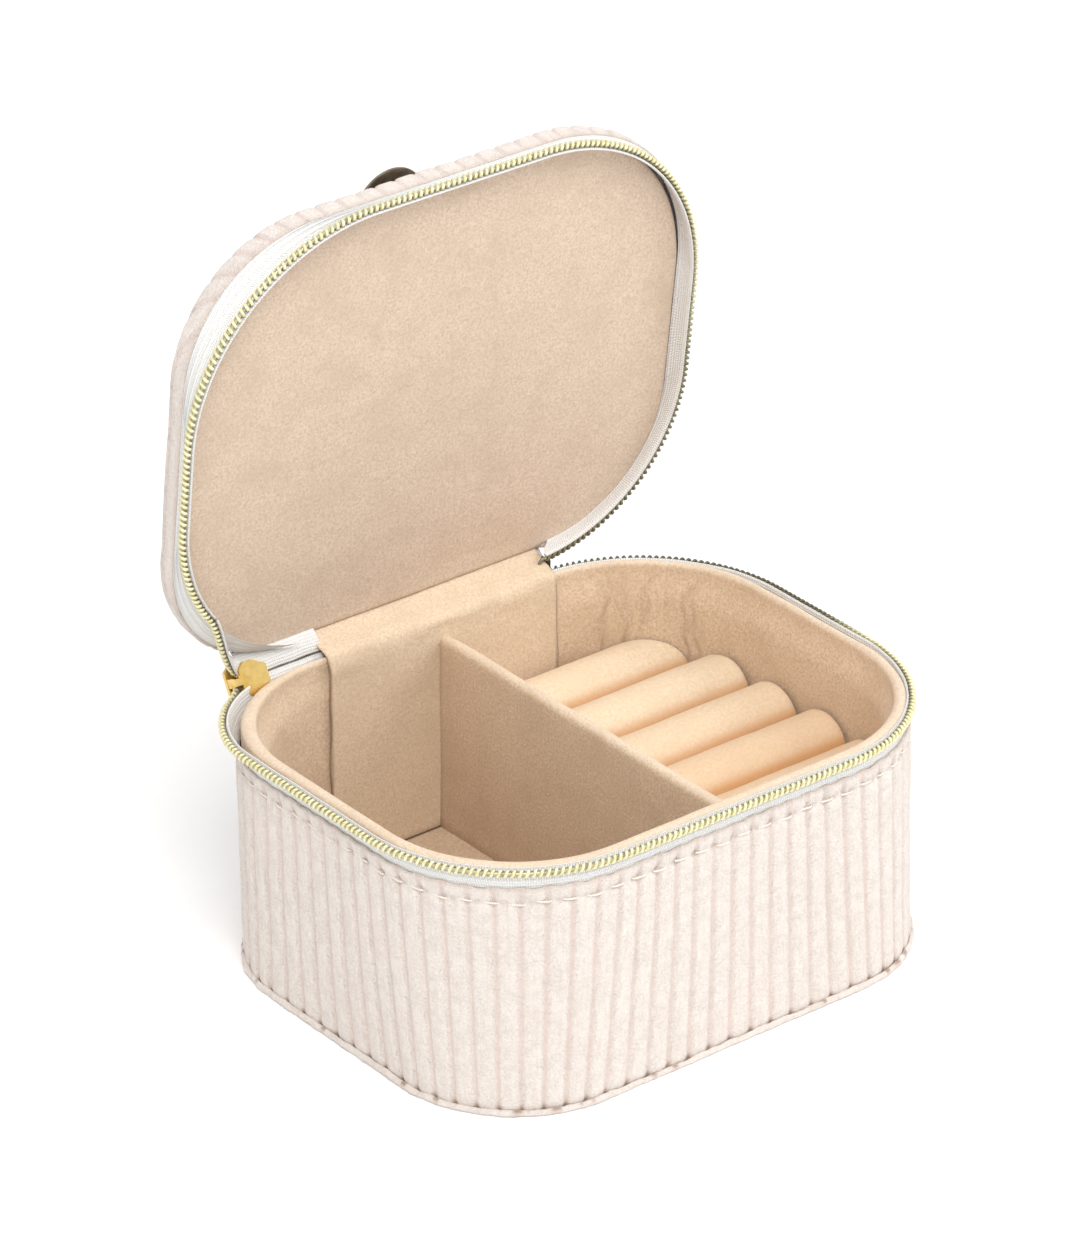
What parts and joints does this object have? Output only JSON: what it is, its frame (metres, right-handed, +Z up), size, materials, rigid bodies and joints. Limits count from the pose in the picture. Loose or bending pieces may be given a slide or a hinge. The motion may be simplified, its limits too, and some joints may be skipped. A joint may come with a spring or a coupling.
{
  "type": "jewelry box",
  "caption": "Zip-round travel jewelry box in ribbed cloth with a hinged shallow lid, suede lining, divider and padded ring rolls.",
  "frame": {"origin": "centre of the underside of the base, where the box rests", "axes": "+Z up, +Y towards the hinge at the back, +X to the right seen from the front"},
  "size_m": [0.121, 0.1009, 0.1482],
  "materials": {
    "ribbed_cloth": "soft ribbed corduroy pile",
    "suede_lining": "matte microsuede",
    "light_lining": "matte microsuede, lighter",
    "roll_suede": "smooth matte microsuede",
    "foam": "soft foam",
    "card": "grey board",
    "zip_tape": "woven tape",
    "zip_coil": "gold-coated coil",
    "dark_metal": "dark plated",
    "gold_metal": "satin gold plate",
    "bronze_metal": "antique bronze plate",
    "thread": "matte thread"
  },
  "bodies": {
    "base": {"base_bottom_cover": "ribbed_cloth", "base_bottom_seam": "ribbed_cloth", "base_floor_board": "card", "base_wall_board": "card", "base_wall_cover": "ribbed_cloth", "base_wall_lining": "suede_lining", "base_top_stitching": "thread", "floor_pad": "suede_lining", "back_wall_strip": "light_lining", "divider_board": "card", "divider_cover": "suede_lining", "ring_base_card": "card", "base_zip_tape": "zip_tape", "base_zip_coil": "zip_coil", "zip_end_stop": "dark_metal", "zip_closed_chain": "zip_coil", "hinge_cover": "ribbed_cloth", "hinge_lining": "light_lining", "ring_roll_core_1": "foam", "ring_roll_core_2": "foam", "ring_roll_core_3": "foam", "ring_roll_core_4": "foam", "ring_roll_core_5": "foam", "ring_roll_core_6": "foam", "ring_roll_cover_1": "roll_suede", "ring_roll_cover_2": "roll_suede", "ring_roll_cover_3": "roll_suede", "ring_roll_cover_4": "roll_suede", "ring_roll_cover_5": "roll_suede", "ring_roll_cover_6": "roll_suede"},
    "lid": {"lid_lining_panel": "suede_lining", "lid_board": "card", "lid_foam": "foam", "lid_cover": "ribbed_cloth", "lid_zip_tape": "zip_tape", "lid_zip_coil": "zip_coil", "lid_button_cap": "bronze_metal", "lid_button_shank": "bronze_metal", "lid_button_washer": "bronze_metal"},
    "slider": {"slider_body": "gold_metal"},
    "pull": {"pull_tab": "gold_metal"}
  },
  "joints": [
    {"name": "lid_hinge", "type": "hinge", "parent": "base", "child": "lid", "pos_m": [0, 0.04734, 0.0535], "axis": [1, 0, 0], "range_deg": [-12, 82.86], "deforming": ["hinge_cover", "hinge_lining", "zip_closed_chain"]},
    {"name": "slider_travel", "type": "slide", "parent": "base", "child": "slider", "axis": [0.97, 0.243, 0], "range_m": [0, 0.005], "deforming": ["zip_closed_chain"]},
    {"name": "pull_swing", "type": "hinge", "parent": "slider", "child": "pull", "pos_m": [-0.042, 0.04916, 0.05045], "axis": [0, 0.4695, 0.8829], "range_deg": [0, 150]}
  ]
}
